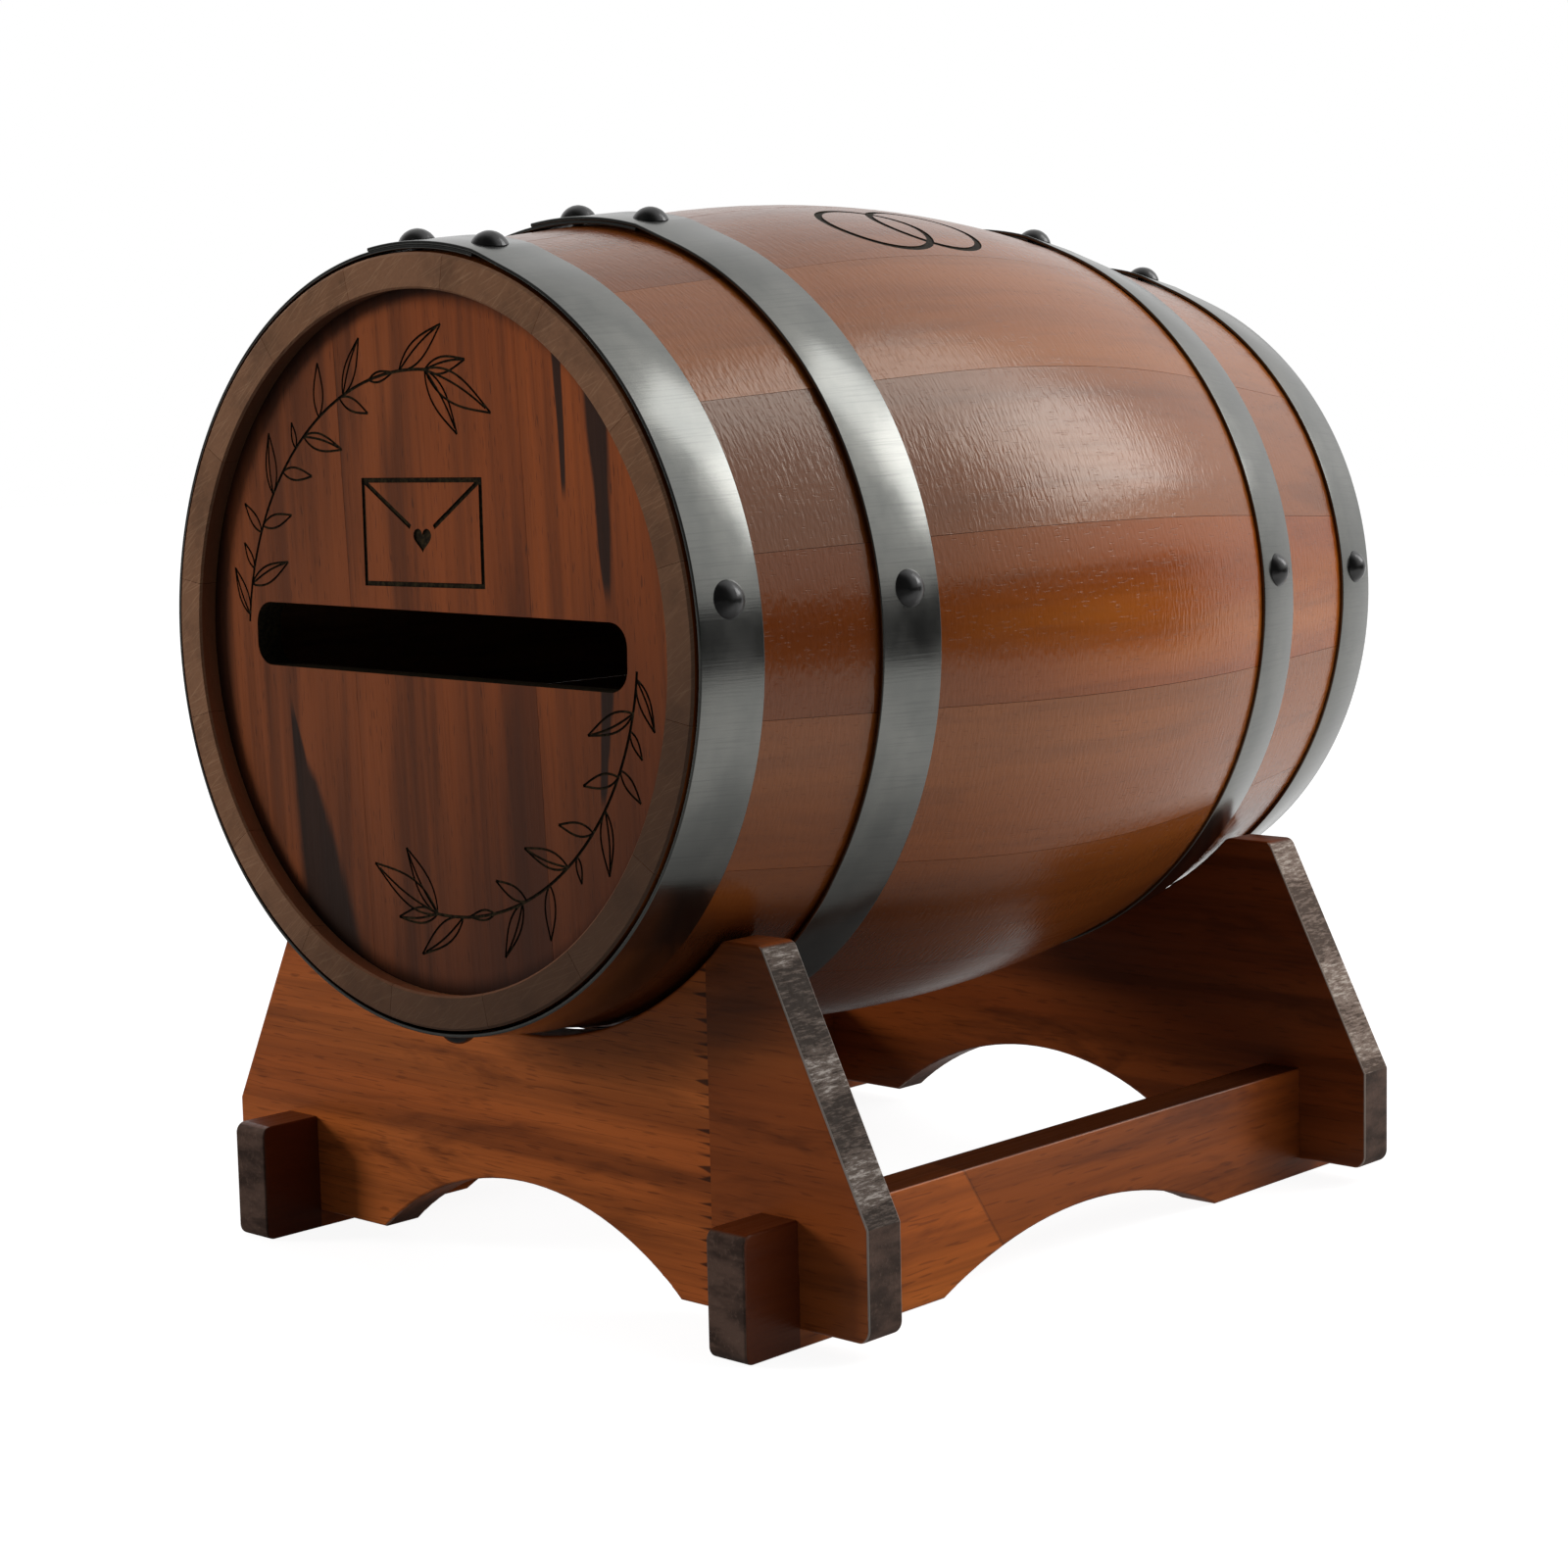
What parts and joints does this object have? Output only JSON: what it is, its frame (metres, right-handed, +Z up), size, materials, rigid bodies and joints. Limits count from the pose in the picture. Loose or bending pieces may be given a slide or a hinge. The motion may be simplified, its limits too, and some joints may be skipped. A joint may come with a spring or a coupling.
{
  "type": "wedding card box",
  "caption": "Wooden barrel card box lying on a cradle stand, with a card slot in its front head, riveted steel hoops and a hinged, locking round door at the back.",
  "frame": {"origin": "on the surface that the stand's rails rest on, under the middle of the barrel", "axes": "+Y along the barrel from the slotted front head to the rear door, +Z up, +X to the right seen from the front"},
  "size_m": [0.2478, 0.3, 0.2917],
  "materials": {
    "stave_wood": "gloss varnish",
    "head_wood": "satin varnish",
    "inner_wood": "bare",
    "stand_wood": "satin varnish",
    "hoop_steel": "brushed",
    "black_rivet": "gloss",
    "hinge_brass": "polished",
    "lock_chrome": "polished",
    "zinc_steel": "plain"
  },
  "bodies": {
    "stand": {"front_cradle": "stand_wood", "rear_cradle": "stand_wood", "left_rail": "stand_wood", "right_rail": "stand_wood"},
    "barrel": {"stave_01": "stave_wood", "stave_02": "stave_wood", "stave_03": "stave_wood", "stave_04": "stave_wood", "stave_05": "stave_wood", "stave_06": "stave_wood", "stave_07": "stave_wood", "stave_08": "stave_wood", "stave_09": "stave_wood", "stave_10": "stave_wood", "stave_11": "stave_wood", "stave_12": "stave_wood", "stave_13": "stave_wood", "stave_14": "stave_wood", "stave_15": "stave_wood", "stave_16": "stave_wood", "head_left_board": "head_wood", "head_upper_board": "head_wood", "head_lower_board": "head_wood", "head_right_board": "head_wood", "front_end_hoop": "hoop_steel", "front_quarter_hoop": "hoop_steel", "rear_quarter_hoop": "hoop_steel", "rear_end_hoop": "hoop_steel", "front_end_rivets": "black_rivet", "front_quarter_rivets": "black_rivet", "rear_quarter_rivets": "black_rivet", "rear_end_rivets": "black_rivet", "door_stop_ring": "inner_wood", "hinge_rim_leaf": "hinge_brass", "hinge_pin": "hinge_brass", "hinge_rim_screws": "hinge_brass"},
    "door": {"door_left_board": "head_wood", "door_middle_board": "head_wood", "door_right_board": "head_wood", "door_upper_batten": "inner_wood", "door_lower_batten": "inner_wood", "door_batten_screws": "zinc_steel", "hinge_door_leaf": "hinge_brass", "hinge_door_screws": "hinge_brass", "lock_housing": "lock_chrome", "lock_nut": "lock_chrome"},
    "lock": {"lock_plug": "lock_chrome", "lock_cam": "zinc_steel", "lock_cam_screw": "zinc_steel"}
  },
  "joints": [
    {"name": "barrel_lift", "type": "slide", "parent": "stand", "child": "barrel", "axis": [0, 0, 1], "range_m": [0, 0.12]},
    {"name": "door_hinge", "type": "hinge", "parent": "barrel", "child": "door", "pos_m": [-0.08728, 0.1477, 0.1747], "axis": [0, 0, 1], "range_deg": [0, 110]},
    {"name": "lock_turn", "type": "hinge", "parent": "door", "child": "lock", "pos_m": [0.067, 0.1454, 0.1747], "axis": [0, -1, 0], "range_deg": [0, 90]}
  ]
}
